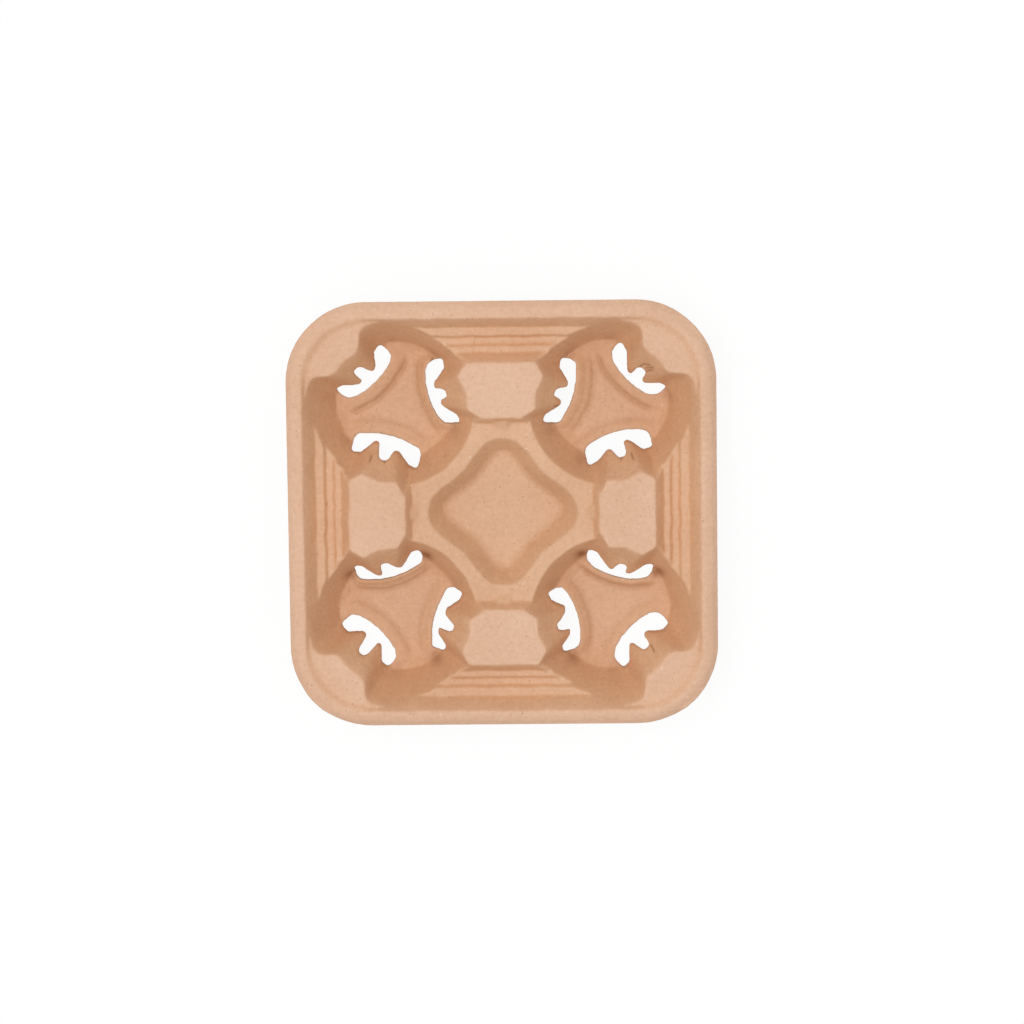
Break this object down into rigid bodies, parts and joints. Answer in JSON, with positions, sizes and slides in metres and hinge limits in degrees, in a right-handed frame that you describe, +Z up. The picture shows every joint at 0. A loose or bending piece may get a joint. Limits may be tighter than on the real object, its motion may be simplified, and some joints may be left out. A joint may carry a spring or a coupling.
{
  "type": "cup carrier tray",
  "caption": "Square moulded-pulp takeaway cup carrier with round cup wells, sprung tabs over open slots, stepped channels, a raised pad at each side and a sunk diamond in the middle.",
  "frame": {"origin": "centre of the base, on the surface the tray rests on", "axes": "+Z up, out of the cup wells; +X and +Y square to the tray's sides, with +Y to the back"},
  "size_m": [0.212, 0.212, 0.036],
  "materials": {
    "pulp": "undyed moulded paper pulp, matt and slightly fibrous"
  },
  "bodies": {
    "root": {"cup_carrier_tray": "pulp"}
  },
  "joints": []
}
